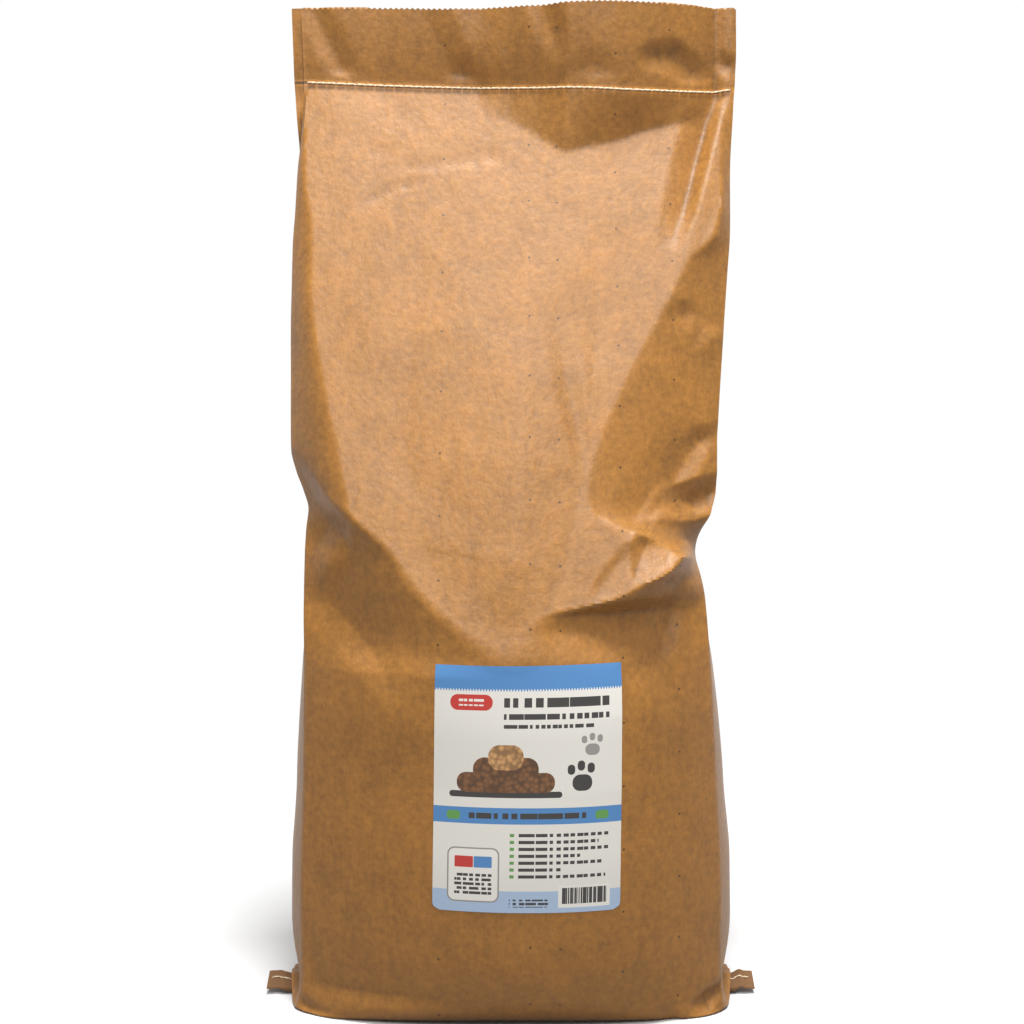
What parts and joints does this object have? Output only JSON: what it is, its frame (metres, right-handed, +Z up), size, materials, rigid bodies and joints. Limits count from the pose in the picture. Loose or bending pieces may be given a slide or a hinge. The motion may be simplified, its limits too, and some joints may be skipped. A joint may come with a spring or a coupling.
{
  "type": "bag of ferret litter",
  "caption": "Tall side-gusseted kraft paper sack of pelleted small-animal litter, sewn shut at top and bottom, with a front label, standing on its folded-under base.",
  "frame": {"origin": "on the ground, under the centre of the pack's bounding box", "axes": "+Z up through the sewn mouth, +X to the right along the sack's face width, +Y to the back, so that the labelled front faces -Y"},
  "size_m": [0.419, 0.2499, 0.853],
  "materials": {
    "kraft_paper": "unbleached natural kraft, lightly calendered",
    "label_paper": "coated white adhesive label, satin",
    "sewing_thread": "undyed spun polyester-cotton",
    "crepe_tape": "creped kraft binding tape"
  },
  "bodies": {
    "root": {"sack": "kraft_paper", "label": "label_paper", "top_needle_thread": "sewing_thread", "top_looper_thread": "sewing_thread", "bottom_tape": "crepe_tape", "bottom_needle_thread": "sewing_thread", "bottom_looper_thread": "sewing_thread"}
  },
  "joints": []
}
